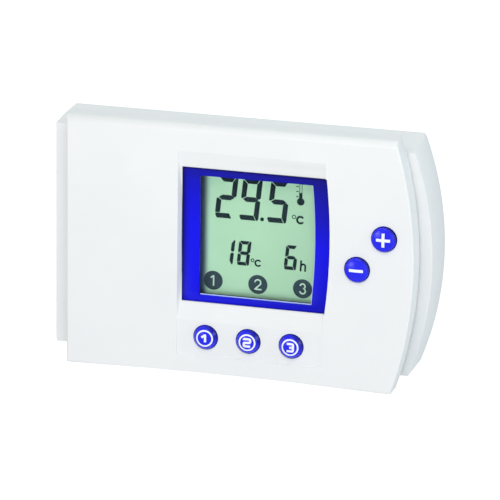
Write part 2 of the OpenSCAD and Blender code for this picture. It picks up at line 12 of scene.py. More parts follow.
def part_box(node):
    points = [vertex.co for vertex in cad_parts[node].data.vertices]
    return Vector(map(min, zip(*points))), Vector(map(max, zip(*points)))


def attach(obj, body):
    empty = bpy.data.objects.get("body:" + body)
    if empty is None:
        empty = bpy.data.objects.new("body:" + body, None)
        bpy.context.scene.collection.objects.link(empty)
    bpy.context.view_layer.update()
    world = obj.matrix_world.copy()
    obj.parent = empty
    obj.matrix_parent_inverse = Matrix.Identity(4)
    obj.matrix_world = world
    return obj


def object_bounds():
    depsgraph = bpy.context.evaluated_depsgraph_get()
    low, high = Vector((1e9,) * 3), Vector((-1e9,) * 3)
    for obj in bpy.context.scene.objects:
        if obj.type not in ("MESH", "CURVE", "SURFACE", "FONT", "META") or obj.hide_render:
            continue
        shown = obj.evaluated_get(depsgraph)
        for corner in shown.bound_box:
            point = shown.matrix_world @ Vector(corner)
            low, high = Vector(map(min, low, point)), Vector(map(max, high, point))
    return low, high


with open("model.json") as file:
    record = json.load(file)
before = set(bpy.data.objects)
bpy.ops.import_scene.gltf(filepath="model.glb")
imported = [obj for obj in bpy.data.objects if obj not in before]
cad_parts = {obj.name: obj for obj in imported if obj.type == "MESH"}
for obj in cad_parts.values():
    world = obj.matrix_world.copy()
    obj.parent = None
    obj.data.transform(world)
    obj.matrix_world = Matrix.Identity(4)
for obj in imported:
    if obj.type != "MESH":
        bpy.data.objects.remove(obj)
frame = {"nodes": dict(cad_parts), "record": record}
cad_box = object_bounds()
MM = 0.001
WELD_GAP = 0.002 * MM  # points nearer than this are one point

# ---------------------------------------------------------------- places read from the frame

AIM_FROM_LEFT = 64.7 * MM
AIM_ABOVE_MIDDLE = 2.3 * MM

cover_lo, cover_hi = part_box("front_cover")
glass_lo, glass_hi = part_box("lcd_front_glass")
AIM_POINT = Vector((cover_lo.x + AIM_FROM_LEFT, cover_lo.y, (cover_lo.z + cover_hi.z) / 2 + AIM_ABOVE_MIDDLE))


# ---------------------------------------------------------------- camera

CAMERA_AZIMUTH = math.radians(15.5)
CAMERA_ELEVATION = math.radians(16.7)
CAMERA_ROLL = math.radians(0.82)
CAMERA_LENS = 288.0  # mm on a 36 mm sensor
CAMERA_DISTANCE = 1.338


def make_camera():
    """The camera, to the right of the cover and above it, looking at the aim point."""
    back = Vector((
        math.sin(CAMERA_AZIMUTH) * math.cos(CAMERA_ELEVATION),
        -math.cos(CAMERA_AZIMUTH) * math.cos(CAMERA_ELEVATION),
        math.sin(CAMERA_ELEVATION),
    ))
    right = Vector((math.cos(CAMERA_AZIMUTH), math.sin(CAMERA_AZIMUTH), 0))
    up = back.cross(right)
    rolled_right = math.cos(CAMERA_ROLL) * right + math.sin(CAMERA_ROLL) * up
    rolled_up = math.cos(CAMERA_ROLL) * up - math.sin(CAMERA_ROLL) * right
    data = bpy.data.cameras.new("camera")
    data.lens = CAMERA_LENS
    data.sensor_width = 36
    data.clip_start = 0.1
    data.clip_end = 50
    camera = bpy.data.objects.new("camera", data)
    turn = Matrix((rolled_right, rolled_up, back)).transposed().to_4x4()
    camera.matrix_world = Matrix.Translation(AIM_POINT + back * CAMERA_DISTANCE) @ turn
    bpy.context.scene.collection.objects.link(camera)
    bpy.context.scene.camera = camera


# ---------------------------------------------------------------- light and floor

LIGHTS = [  # name, place in metres, width in metres, power in watts, colour
    ("key", (0.02, -0.32, 0.36), 0.3, 0.83, (1.0, 0.91, 0.83)),
    ("front_right", (0.46, -0.77, -0.05), 0.6, 1.12, (0.87, 0.94, 1.0)),
    ("right", (0.85, -0.12, 0.28), 0.4, 1.72, (0.78, 0.95, 1.0)),
    ("left", (-0.43, -0.91, -0.02), 0.2, 1.15, (0.95, 0.97, 1.0)),
    ("top", (0.0, 0.05, 0.7), 0.5, 0.36, (0.2, 0.85, 1.0)),
]
FILL_COLOUR = (0.967, 0.99, 1.0)
FILL_STRENGTH = 0.55
FLOOR_DROP = 0.5  # how far the floor lies below the object, as it hangs on no wall here
FLOOR_HALF = 20
FLOOR_GLOW_SEEN = 0.75
FLOOR_GLOW_CAST = 0.1


def make_light(name, place, width, power, colour):
    """A round soft lamp that shines at the aim point."""
    data = bpy.data.lights.new(name, "AREA")
    data.shape = "DISK"
    data.size = width
    data.energy = power
    data.color = colour
    light = bpy.data.objects.new(name, data)
    light.location = place
    light.rotation_mode = "QUATERNION"
    light.rotation_quaternion = (AIM_POINT - Vector(place)).to_track_quat("-Z", "Y")
    bpy.context.scene.collection.objects.link(light)


def make_world():
    """White behind the object, and a cooler, weaker fill light from all sides."""
    world = bpy.data.worlds.new("studio")
    bpy.context.scene.world = world
    world.use_nodes = True
    nodes, links = world.node_tree.nodes, world.node_tree.links
    nodes.clear()
    fill = nodes.new("ShaderNodeBackground")
    fill.inputs["Color"].default_value = (*FILL_COLOUR, 1)
    fill.inputs["Strength"].default_value = FILL_STRENGTH
    shown = nodes.new("ShaderNodeBackground")
    shown.inputs["Color"].default_value = (1, 1, 1, 1)
    shown.inputs["Strength"].default_value = 1.0
    path = nodes.new("ShaderNodeLightPath")
    mix = nodes.new("ShaderNodeMixShader")
    out = nodes.new("ShaderNodeOutputWorld")
    links.new(path.outputs["Is Camera Ray"], mix.inputs[0])
    links.new(fill.outputs[0], mix.inputs[1])
    links.new(shown.outputs[0], mix.inputs[2])
    links.new(mix.outputs[0], out.inputs["Surface"])


def plain_floor():
    """A pale floor that looks brighter than the light that it casts back."""
    made, shader, nodes, links = node_material("pale_floor")
    drift = noise(nodes, links, 3)
    links.new(vary(nodes, links, drift, (0.84, 0.84, 0.84), (0.88, 0.88, 0.88)), shader.inputs["Base Color"])
    shader.inputs["Roughness"].default_value = 0.9
    shader.inputs["Emission Color"].default_value = (1, 1, 1, 1)
    path = nodes.new("ShaderNodeLightPath")
    glow = mapped(nodes, links, path.outputs["Is Camera Ray"], (0, 1), (FLOOR_GLOW_CAST, FLOOR_GLOW_SEEN))
    links.new(glow, shader.inputs["Emission Strength"])
    return made


def make_floor():
    """A wide flat floor below the object."""
    mesh = bpy.data.meshes.new("floor")
    floor = bpy.data.objects.new("floor", mesh)
    bm = bmesh.new()
    bmesh.ops.create_grid(bm, x_segments=8, y_segments=8, size=FLOOR_HALF)
    bm.to_mesh(mesh)
    bm.free()
    floor.location = (0, 0, cad_box[0].z - FLOOR_DROP)
    bpy.context.scene.collection.objects.link(floor)
    floor.data.materials.append(plain_floor())


# ---------------------------------------------------------------- shader nodes

NOISE_LOW, NOISE_HIGH = 0.3, 0.7  # the range that noise mostly stays in


def node_material(name):
    """A material with a Principled node; returns (material, principled, nodes, links)."""
    made = bpy.data.materials.new(name)
    made.use_nodes = True
    nodes, links = made.node_tree.nodes, made.node_tree.links
    return made, nodes["Principled BSDF"], nodes, links


def noise(nodes, links, scale, detail=2.0):
    """Noise in object space, with scale in cells per metre."""
    place = nodes.new("ShaderNodeTexCoord")
    texture = nodes.new("ShaderNodeTexNoise")
    texture.inputs["Scale"].default_value = scale
    texture.inputs["Detail"].default_value = detail
    links.new(place.outputs["Object"], texture.inputs["Vector"])
    return texture.outputs["Fac"]


def object_place(nodes, links):
    """The place on the object in metres, as sockets X, Y and Z."""
    place = nodes.new("ShaderNodeTexCoord")
    split = nodes.new("ShaderNodeSeparateXYZ")
    links.new(place.outputs["Object"], split.inputs[0])
    return split.outputs


def mapped(nodes, links, value, source, target=(0, 1)):
    """A value that runs over target while the given one runs over source."""
    run = nodes.new("ShaderNodeMapRange")
    run.inputs["From Min"].default_value = source[0]
    run.inputs["From Max"].default_value = source[1]
    run.inputs["To Min"].default_value = target[0]
    run.inputs["To Max"].default_value = target[1]
    links.new(value, run.inputs["Value"])
    return run.outputs["Result"]


def ramped(nodes, links, value, stops, interpolation="LINEAR"):
    """A colour that follows (position, colour) stops along a value."""
    ramp = nodes.new("ShaderNodeValToRGB")
    ramp.color_ramp.interpolation = interpolation
    points = ramp.color_ramp.elements
    while len(points) < len(stops):
        points.new(0.5)
    for point, (position, colour) in zip(points, stops):
        point.position = position
        point.color = (*colour, 1)
    links.new(value, ramp.inputs["Fac"])
    return ramp.outputs["Color"]


def ramped_mm(nodes, links, coordinate, stops):
    """A colour that follows (millimetre, colour) stops along a coordinate in metres."""
    low, high = stops[0][0], stops[-1][0]
    run = mapped(nodes, links, coordinate, (low * MM, high * MM))
    return ramped(nodes, links, run, [((at - low) / (high - low), colour) for at, colour in stops])


def vary(nodes, links, texture, low, high):
    """Colour that runs from low to high with the noise."""
    return ramped(nodes, links, texture, [(NOISE_LOW, low), (NOISE_HIGH, high)])


def rough_range(nodes, links, shader, texture, rough):
    """Roughness that runs from its lowest to its highest with the noise."""
    links.new(mapped(nodes, links, texture, (NOISE_LOW, NOISE_HIGH), rough), shader.inputs["Roughness"])


def grain(nodes, links, shader, scale, height):
    """Fine surface grain as bump, with height in metres."""
    bump = nodes.new("ShaderNodeBump")
    bump.inputs["Strength"].default_value = 1.0
    bump.inputs["Distance"].default_value = height
    links.new(noise(nodes, links, scale), bump.inputs["Height"])
    links.new(bump.outputs["Normal"], shader.inputs["Normal"])


def times(nodes, links, colour, shade):
    """A colour multiplied by a shade."""
    product = nodes.new("ShaderNodeVectorMath")
    product.operation = "MULTIPLY"
    links.new(colour, product.inputs[0])
    links.new(shade, product.inputs[1])
    return product.outputs["Vector"]


def colour_of(made):
    """The socket that a material's base colour comes from, and the one that it goes to."""
    base = made.node_tree.nodes["Principled BSDF"].inputs["Base Color"]
    return base.links[0].from_socket, base


# ---------------------------------------------------------------- materials

DRIFT_CELLS = 60  # cells per metre of slow colour drift
GLOSS_CELLS = 400
GRAIN_CELLS = 2500
GRAIN_HEIGHT = 0.004 * MM
HAZE_CELLS = 900


def moulded(name, low, high, rough, specular=0.5, metal=0.0):
    """Moulded plastic or plain metal: slight colour drift, fine grain and uneven gloss."""
    made, shader, nodes, links = node_material(name)
    drift = noise(nodes, links, DRIFT_CELLS, 3.0)
    links.new(vary(nodes, links, drift, low, high), shader.inputs["Base Color"])
    rough_range(nodes, links, shader, noise(nodes, links, GLOSS_CELLS, 4.0), rough)
    grain(nodes, links, shader, GRAIN_CELLS, GRAIN_HEIGHT)
    shader.inputs["Specular IOR Level"].default_value = specular
    shader.inputs["Metallic"].default_value = metal
    return made


def paint_edge_shade(made, across, up):
    """Painted shade: darken a material's colour along X and along Z, each as (millimetre, shade) stops."""
    nodes, links = made.node_tree.nodes, made.node_tree.links
    place = object_place(nodes, links)
    colour, base = colour_of(made)
    for axis, stops in (("X", across), ("Z", up)):
        shade = ramped_mm(nodes, links, place[axis], [(at, (grey, grey, grey)) for at, grey in stops])
        colour = times(nodes, links, colour, shade)
    links.new(colour, base)
    return made


def paint_reflection_edge(made, start, end, tint):
    """Painted reflection: add a neighbour's colour near one side of a material, all of it at X start, none at
    end.
    """
    nodes, links = made.node_tree.nodes, made.node_tree.links
    colour, base = colour_of(made)
    near = mapped(nodes, links, object_place(nodes, links)["X"], (start * MM, end * MM), (1, 0))
    total = nodes.new("ShaderNodeVectorMath")
    total.operation = "MULTIPLY_ADD"
    total.inputs[0].default_value = tint
    links.new(near, total.inputs[1])
    links.new(colour, total.inputs[2])
    links.new(total.outputs["Vector"], base)
    return made


def paint_shade_facing(made, direction, start, full, shade):
    """Painted shade, darker colour on the walls that face a direction: none at the cosine start, all of it at
    full.
    """
    nodes, links = made.node_tree.nodes, made.node_tree.links
    colour, base = colour_of(made)
    surface = nodes.new("ShaderNodeNewGeometry")
    facing = nodes.new("ShaderNodeVectorMath")
    facing.operation = "DOT_PRODUCT"
    facing.inputs[1].default_value = direction
    links.new(surface.outputs["Normal"], facing.inputs[0])
    dim = mapped(nodes, links, facing.outputs["Value"], (start, full), (1, shade))
    links.new(times(nodes, links, colour, dim), base)
    return made


def painted_glow(made, strength):
    """Painted light: the surface also gives off a little of its own colour, though it is no lamp."""
    shader = made.node_tree.nodes["Principled BSDF"]
    made.node_tree.links.new(colour_of(made)[0], shader.inputs["Emission Color"])
    shader.inputs["Emission Strength"].default_value = strength
    return made


def painted_shade_by_height(made, left, right, sides):
    """Painted shade: give a material colours that change with height, as (Z, colour) stops at its left and
    right sides.
    """
    nodes, links = made.node_tree.nodes, made.node_tree.links
    place = object_place(nodes, links)
    blend = nodes.new("ShaderNodeMix")
    blend.data_type = "RGBA"
    across = mapped(nodes, links, place["X"], (sides[0] * MM, sides[1] * MM))
    links.new(across, blend.inputs["Factor"])
    ends = [socket for socket in blend.inputs if socket.type == "RGBA"]
    for stops, socket in zip((left, right), ends):
        links.new(ramped_mm(nodes, links, place["Z"], stops), socket)
    colour = [socket for socket in blend.outputs if socket.type == "RGBA"][0]
    links.new(colour, colour_of(made)[1])
    return made


# ---------------------------------------------------------------- the seen plastics

SHELL_LIP_SHADE_FACING = (0.0, -0.71, 0.71)  # the way that the rounded upper lip of the shell faces; painted shade darkens the shell's colour there, toning down its lit lip
KEY_WALL_SHADE_FACING = (0.8, 0.0, 0.6)  # the way that a key's wall over its own gap faces; painted shade darkens the key's colour there
# colours and painted shade of the frame and the display, by place in millimetres
FRAME_SIDES = (-18, 32)
# the frame's own blue with painted shade: darker towards its top, and darker on its right side
FRAME_LEFT_SHADED_BLUES = [(-18, (0.006, 0.006, 0.72)), (-10, (0.006, 0.006, 0.82)), (8, (0.007, 0.007, 0.84)),
              (18, (0.007, 0.007, 0.7)), (24, (0.008, 0.008, 0.56)), (29, (0.008, 0.008, 0.36))]
FRAME_RIGHT_SHADED_BLUES = [(-18, (0.006, 0.006, 0.45)), (-10, (0.006, 0.006, 0.66)), (4, (0.007, 0.007, 0.8)),
               (14, (0.008, 0.008, 0.5)), (22, (0.008, 0.008, 0.36)), (29, (0.008, 0.008, 0.2))]
# painted shadow in the gap around the frame's left, right, lower and upper edges
FRAME_GAP_SHADOW_ACROSS = [(-18.9, 0.1), (-18.5, 0.13), (-18.2, 0.3), (-17.5, 0.6), (-16.8, 0.85), (-15.5, 1.0)]
FRAME_GAP_SHADOW_UP = [(-18, 0.35), (-17.6, 0.8), (-17.1, 1.0), (28.0, 1.0), (28.5, 0.75), (29, 0.3)]
# painted shadow of the frame near the display's left side; darker towards its right
DISPLAY_SHADE_ACROSS = [(-14, 0.02), (-13, 0.05), (-12.4, 0.11), (-11.8, 0.31), (-11.2, 0.71), (-10.6, 0.96),
                  (-10, 1.02), (6, 1.0), (24, 0.93)]
# painted shadow near the display's bottom, and painted light towards its top that offsets the frame's shadow
# there
DISPLAY_SHADE_UP = [(-17, 0.4), (-16, 0.6), (-14.8, 0.9), (-13, 1.0), (18, 1.0), (24, 1.2), (27, 1.45)]
# painted light: the display glows a little, which lightens its shade
DISPLAY_PAINTED_GLOW = 0.5
# painted reflection of the blue frame's wall near the display's left side
WALL_REFLECTION_TINT, WALL_REFLECTION_TINT_FULL, WALL_REFLECTION_TINT_END = (0.003, 0.005, 0.035), -11.2, -9.2
LENS_IOR = 1.1  # below real plastic's 1.49, which keeps the display behind the lens undimmed


def white_shell():
    made = moulded("white_shell", (0.848, 0.863, 0.875), (0.868, 0.882, 0.892), (0.42, 0.5), 0.3)
    # painted shade on the upper lip, which the key lamp lights too brightly
    return paint_shade_facing(made, SHELL_LIP_SHADE_FACING, 0.8, 1.0, 0.91)


def blue_frame():
    made = moulded("blue_frame", FRAME_LEFT_SHADED_BLUES[0][1], FRAME_LEFT_SHADED_BLUES[0][1], (0.3, 0.36), 0.1)
    # the frame's own blue, with painted shade by height and a painted shadow along its edges
    return paint_edge_shade(painted_shade_by_height(made, FRAME_LEFT_SHADED_BLUES, FRAME_RIGHT_SHADED_BLUES, FRAME_SIDES), FRAME_GAP_SHADOW_ACROSS, FRAME_GAP_SHADOW_UP)


def blue_key():
    made = moulded("blue_key", (0.01, 0.012, 0.82), (0.012, 0.015, 0.88), (0.22, 0.28), 0.35)
    # painted shade on the key's right and upper walls, where its side lies in shade
    return paint_shade_facing(made, KEY_WALL_SHADE_FACING, 0.3, 0.85, 0.3)


def lcd_glass():
    """The display's pale green, with painted shadow near its left side and bottom, painted light towards its
    top, a painted reflection of the blue wall near its left side and a painted glow.
    """
    made = moulded("lcd_glass", (0.229, 0.397, 0.27), (0.243, 0.411, 0.285), (0.35, 0.4), 0.3)
    # painted shade and light on the display
    paint_edge_shade(made, DISPLAY_SHADE_ACROSS, DISPLAY_SHADE_UP)
    paint_reflection_edge(made, WALL_REFLECTION_TINT_FULL, WALL_REFLECTION_TINT_END, WALL_REFLECTION_TINT)
    return painted_glow(made, DISPLAY_PAINTED_GLOW)


def clear_lens():
    """Clear plastic that lets the lamps' light straight through."""
    made, shader, nodes, links = node_material("clear_lens")
    shader.inputs["Base Color"].default_value = (1, 1, 1, 1)
    shader.inputs["Transmission Weight"].default_value = 1.0
    shader.inputs["IOR"].default_value = LENS_IOR
    rough_range(nodes, links, shader, noise(nodes, links, HAZE_CELLS, 3.0), (0.0, 0.02))
    path = nodes.new("ShaderNodeLightPath")
    through = nodes.new("ShaderNodeBsdfTransparent")
    mix = nodes.new("ShaderNodeMixShader")
    links.new(path.outputs["Is Shadow Ray"], mix.inputs[0])
    links.new(shader.outputs[0], mix.inputs[1])
    links.new(through.outputs[0], mix.inputs[2])
    links.new(mix.outputs[0], nodes["Material Output"].inputs["Surface"])
    return made


# ---------------------------------------------------------------- one material for each slot

PLASTICS = {  # slot: its darkest and lightest colour, its lowest and highest roughness
    "lcd_reflector": ((0.5, 0.6, 0.5), (0.55, 0.65, 0.55), (0.4, 0.5)),
    "black_plastic": ((0.02, 0.02, 0.022), (0.028, 0.028, 0.03), (0.45, 0.6)),
    "contact_rubber": ((0.2, 0.2, 0.21), (0.25, 0.25, 0.26), (0.7, 0.8)),
    "circuit_board": ((0.008, 0.09, 0.03), (0.012, 0.12, 0.04), (0.3, 0.4)),
    "relay_case": ((0.7, 0.7, 0.66), (0.74, 0.74, 0.7), (0.4, 0.5)),
    "thermistor_bead": ((0.02, 0.02, 0.02), (0.03, 0.03, 0.03), (0.2, 0.3)),
    "plunger_plastic": ((0.62, 0.56, 0.42), (0.68, 0.62, 0.48), (0.4, 0.5)),
    "inner_chassis": ((0.78, 0.79, 0.8), (0.81, 0.82, 0.83), (0.45, 0.55)),
    "terminal_plastic": ((0.02, 0.16, 0.06), (0.03, 0.2, 0.08), (0.4, 0.5)),
}
METALS = {
    "steel": ((0.55, 0.56, 0.58), (0.65, 0.66, 0.68), (0.25, 0.4)),
    "brass": ((0.7, 0.5, 0.2), (0.78, 0.58, 0.25), (0.25, 0.35)),
    "tinned_metal": ((0.68, 0.68, 0.66), (0.76, 0.76, 0.74), (0.2, 0.3)),
    "capacitor_sleeve": ((0.6, 0.61, 0.62), (0.7, 0.71, 0.72), (0.25, 0.35)),
}
CELLS = {"battery_upper": True, "battery_lower": False}  # whether the cell's plus end is on the right
CELL_METAL, CELL_BAND, CELL_JACKET = (0.7, 0.7, 0.68), (0.62, 0.28, 0.09), (0.025, 0.027, 0.035)
CELL_BARE_MINUS, CELL_BARE_PLUS, CELL_BAND_FROM = 0.6, 1.6, 12  # mm from the nearer end


def make_materials():
    """One material for each slot of the record, apart from the battery cells'."""
    made = {
        "white_shell": white_shell(), "blue_frame": blue_frame(), "blue_key": blue_key(),
        "lcd_glass": lcd_glass(), "clear_lens": clear_lens(),
    }
    for name, finish in PLASTICS.items():
        made[name] = moulded(name, *finish)
    for name, finish in METALS.items():
        made[name] = moulded(name, *finish, metal=1.0)
    return made


def cell_jacket(node, plus_right):
    """A battery cell: bare metal ends, a copper band at its plus end and a dark jacket."""
    made = moulded(f"jacket_{node}", CELL_JACKET, CELL_JACKET, (0.25, 0.35))
    nodes, links = made.node_tree.nodes, made.node_tree.links
    lo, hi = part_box(node)
    length = (hi.x - lo.x) / MM
    ends = (lo.x, hi.x) if plus_right else (hi.x, lo.x)
    along = mapped(nodes, links, object_place(nodes, links)["X"], ends)
    bands = [  # where each begins from the minus end, its colour and how metallic it is
        (0, CELL_METAL, 1), (CELL_BARE_MINUS, CELL_JACKET, 0),
        (length - CELL_BAND_FROM, CELL_BAND, 0.6), (length - CELL_BARE_PLUS, CELL_METAL, 1),
    ]
    colours = [(start / length, colour) for start, colour, metal in bands]
    metals = [(start / length, (metal, metal, metal)) for start, colour, metal in bands]
    for name, stops in (("Base Color", colours), ("Metallic", metals)):
        links.new(ramped(nodes, links, along, stops, "CONSTANT"), nodes["Principled BSDF"].inputs[name])
    return made


def dress_nodes(materials):
    """Each CAD node gets its slot's material, and each battery cell its own."""
    slot_of = {part["node"]: part["material_slot"] for part in frame["record"]["subparts"]}
    for name, node in frame["nodes"].items():
        made = cell_jacket(name, CELLS[name]) if name in CELLS else materials[slot_of[name]]
        for slot in node.material_slots:
            slot.material = made
        if not node.material_slots:
            node.data.materials.append(made)


EDGES = {  # width of the worn edge of each moulded node, in millimetres
    "front_cover": 0.25, "rear_housing": 0.6, "lcd_bezel": 0.12, "plus_key": 0.3, "minus_key": 0.3,
    "key_1": 0.15, "key_2": 0.15, "key_3": 0.15,
}


def soften_edges():
    """Small rounded edges on the moulded nodes."""
    for name, width in EDGES.items():
        node = frame["nodes"][name]
        weld = node.modifiers.new("weld", "WELD")
        weld.merge_threshold = WELD_GAP
        flat = node.modifiers.new("flat", "DECIMATE")
        flat.decimate_type = "DISSOLVE"
        flat.angle_limit = math.radians(0.3)
        edge = node.modifiers.new("edge", "BEVEL")
        edge.width = width * MM
        edge.segments = 3
        edge.limit_method = "ANGLE"
        edge.angle_limit = math.radians(35)


# ---------------------------------------------------------------- flat marks and strokes, in millimetres

ACROSS = (0.5, 0.17, -0.17, -0.5)  # the points across a band, as parts of its width
END_TURNS = (30, 60, 82)  # degrees of its round end at which a band has a row


def arc(centre, radius, start, end, steps=14):
    """Points on an arc, from start to end in degrees."""
    angles = [math.radians(start + (end - start) * i / steps) for i in range(steps + 1)]
    return [(centre[0] + radius * math.cos(a), centre[1] + radius * math.sin(a)) for a in angles]


def rounded(points, radius, steps=5):
    """An open line of points with its inner corners rounded."""
    made = [points[0]]
    for before, corner, after in zip(points, points[1:], points[2:]):
        b, c, a = Vector(before), Vector(corner), Vector(after)
        start = c + (b - c).normalized() * radius
        end = c + (a - c).normalized() * radius
        for i in range(steps + 1):
            t = i / steps
            made.append(tuple(start.lerp(c, t).lerp(c.lerp(end, t), t)))
    return made + [points[-1]]


def finely(points, step=0.25):
    """The same line with a point at least every step."""
    made = [points[0]]
    for a, b in zip(points, points[1:]):
        length = math.dist(a, b)
        parts = max(1, math.ceil(length / step))
        made += [tuple(Vector(a).lerp(Vector(b), i / parts)) for i in range(1, parts + 1)]
    return made


def placed(points, at, size=1.0, slant=0.0):
    """Points scaled by size, leaned by slant and moved to at."""
    return [(at[0] + size * (x + slant * z), at[1] + size * z) for x, z in points]


def ribbon(points, width, closed=False, round_ends=(True, True)):
    """A band along a line, as rows of points across it from side to side."""
    points = finely(points + points[:1] if closed else points)
    if closed:
        points = points[:-1]
    count, rows = len(points), []
    for i, p in enumerate(points):
        before = points[i - 1] if closed or i else p
        after = points[(i + 1) % count] if closed or i < count - 1 else p
        along = (Vector(after) - Vector(before)).normalized()
        side = Vector((-along.y, along.x))
        rows.append([tuple(Vector(p) + side * width * k) for k in ACROSS])
    if closed:
        return rows + rows[:1]
    for end, inner in ((0, 1), (-1, -2)):
        if round_ends[end]:
            tip, along = Vector(points[end]), (Vector(points[end]) - Vector(points[inner])).normalized()
            side = (Vector(rows[end][0]) - tip) / (width / 2)
            extra = []
            for turn in END_TURNS:
                reach, spread = math.sin(math.radians(turn)), math.cos(math.radians(turn))
                middle = tip + along * width / 2 * reach
                extra.append([tuple(middle + side * width * spread * k) for k in ACROSS])
            rows = extra[::-1] + rows if end == 0 else rows + extra
    return rows


def vertex(bm, front_of, spot, offset):
    """A vertex at (X, Z) that lies offset behind a surface, in millimetres."""
    x, z = spot
    return bm.verts.new((x * MM, front_of(x, z) + offset * MM, z * MM))


def strip(bm, rows, front_of, lift, sink):
    """A thin closed band: rows of points across it, laid lift in front of a surface and sunk behind it."""
    front, back = [
        [[vertex(bm, front_of, spot, offset) for spot in row] for row in rows] for offset in (-lift, sink)
    ]
    across = len(rows[0])
    for i in range(len(rows) - 1):
        for k in range(across - 1):
            bm.faces.new((front[i][k], front[i][k + 1], front[i + 1][k + 1], front[i + 1][k]))
            bm.faces.new((back[i][k], back[i + 1][k], back[i + 1][k + 1], back[i][k + 1]))
        for k in (0, across - 1):
            bm.faces.new((front[i][k], front[i + 1][k], back[i + 1][k], back[i][k]))
    for i in (0, len(rows) - 1):
        for k in range(across - 1):
            bm.faces.new((front[i][k], front[i][k + 1], back[i][k + 1], back[i][k]))


def plate(bm, outline, front_of, lift, sink):
    """A thin closed plate with a straight-sided outline, laid in front of a flat surface."""
    front, back = [[vertex(bm, front_of, spot, offset) for spot in outline] for offset in (-lift, sink)]
    bm.faces.new(front)
    bm.faces.new(back[::-1])
    for i in range(len(outline)):
        j = (i + 1) % len(outline)
        bm.faces.new((front[i], front[j], back[j], back[i]))


def piece(name, bm, body, material):
    """A finished mesh piece that rides on a body."""
    bmesh.ops.remove_doubles(bm, verts=bm.verts, dist=WELD_GAP)
    bmesh.ops.recalc_face_normals(bm, faces=bm.faces)
    mesh = bpy.data.meshes.new(name)
    bm.to_mesh(mesh)
    bm.free()
    made = bpy.data.objects.new(name, mesh)
    bpy.context.scene.collection.objects.link(made)
    mesh.materials.append(material)
    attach(made, body)
    return made


def surface_of(node):
    """A function of X and Z in millimetres that gives Y of a node's front surface there, in metres."""
    mesh = frame["nodes"][node].data
    tree = BVHTree.FromPolygons([v.co for v in mesh.vertices], [p.vertices for p in mesh.polygons])
    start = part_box(node)[0].y - 1 * MM

    def front_of(x, z):
        hit = tree.ray_cast(Vector((x * MM, start, z * MM)), Vector((0, 1, 0)))[0]
        return hit.y

    return front_of


def middle_of(node):
    """X and Z of a node's middle, in millimetres."""
    lo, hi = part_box(node)
    return (lo.x + hi.x) / 2 / MM, (lo.z + hi.z) / 2 / MM


# ---------------------------------------------------------------- numerals

BOLD_NUMERALS = {  # for the keys: squarish, one unit tall on the centre line of their strokes
    "1": [[(-0.4, 0.62), (0.1, 0.98), (0.1, 0.0)]],
    "2": [rounded([(-0.42, 0.84), (-0.42, 1), (0.44, 1), (0.44, 0.52),
                   (-0.42, 0.48), (-0.42, 0), (0.46, 0)], 0.15)],
    "3": [rounded([(-0.42, 1), (0.42, 1), (0.42, 0.5), (0.42, 0), (-0.44, 0)], 0.2),
          [(-0.06, 0.5), (0.24, 0.5)]],
}
PLAIN_NUMERALS = {  # for the display: rounded, one unit tall on the centre line
    "1": [[(-0.2, 0.8), (0.04, 1.0), (0.04, 0.0)]],
    "2": [arc((0, 0.7), 0.3, 165, -40) + [(-0.3, 0.0), (0.34, 0.0)]],
    "3": [arc((0, 0.76), 0.25, 160, -75) + arc((0, 0.27), 0.28, 80, -160)],
}


# ---------------------------------------------------------------- prints on the keys

LEGEND_LIFT = 0.04
LEGEND_SINK = 0.06
SIGN_LENGTH = 4.8
SIGN_STROKE = 1.0
RING_RADIUS = 2.68
RING_STROKE = 0.54
NUMERAL_TALL = 2.55
NUMERAL_STROKE = 0.78


def sign_legend(name, node, body, material, upright):
    """A plus or minus sign moulded into a round key."""
    x, z = middle_of(node)
    half = SIGN_LENGTH / 2
    lines = [ribbon([(x - half, z), (x + half, z)], SIGN_STROKE, round_ends=(False, False))]
    if upright:
        near = SIGN_STROKE / 2
        lines.append(ribbon([(x, z + near), (x, z + half)], SIGN_STROKE, round_ends=(False, False)))
        lines.append(ribbon([(x, z - half), (x, z - near)], SIGN_STROKE, round_ends=(False, False)))
    bm = bmesh.new()
    front_of = surface_of(node)
    for rows in lines:
        strip(bm, rows, front_of, LEGEND_LIFT, LEGEND_SINK)
    piece(name, bm, body, material)


def number_legend(digit, node, body, material):
    """A ring with a numeral in it, moulded into a round key."""
    at = middle_of(node)
    front_of = surface_of(node)
    bm = bmesh.new()
    circle = arc(at, RING_RADIUS, 0, 360, 60)[:-1]
    strip(bm, ribbon(circle, RING_STROKE, closed=True), front_of, LEGEND_LIFT, LEGEND_SINK)
    piece(f"legend_ring_{digit}", bm, body, material)
    bm = bmesh.new()
    for line in BOLD_NUMERALS[digit]:
        points = placed(line, (at[0], at[1] - NUMERAL_TALL / 2), NUMERAL_TALL)
        rows = ribbon(points, NUMERAL_STROKE, round_ends=(False, False))
        strip(bm, rows, front_of, LEGEND_LIFT, LEGEND_SINK)
    piece(f"legend_numeral_{digit}", bm, body, material)


def make_legends():
    """The white signs and numerals on the five keys."""
    white = moulded("legend_white", (0.9, 0.92, 0.95), (0.93, 0.95, 0.97), (0.3, 0.36))
    sign_legend("legend_plus", "plus_key", "plus_button", white, True)
    sign_legend("legend_minus", "minus_key", "minus_button", white, False)
    for digit in "123":
        number_legend(digit, f"key_{digit}", f"key_{digit}_button", white)


# ---------------------------------------------------------------- display symbols

MARK_LIFT = 0.06  # in front of the display's front glass
MARK_SINK = -0.02
NUMERAL_STEP = 0.02  # how far a dot's numeral stands in front of its dot
BIG = {"width": 6.8, "height": 14.5, "bar": 1.75, "gap": 0.13, "slant": 0.105, "bottom": 10.65}
SMALL = {"width": 4.3, "height": 8.6, "bar": 1.2, "gap": 0.1, "slant": 0.11, "bottom": -5.35}
SEGMENTS = {"1": "bc", "2": "abged", "5": "afgcd", "6": "afgedc", "8": "abcdefg", "9": "abcdfg"}


def display_y(x, z):
    """Y of the display's front, which is flat."""
    return glass_lo.y


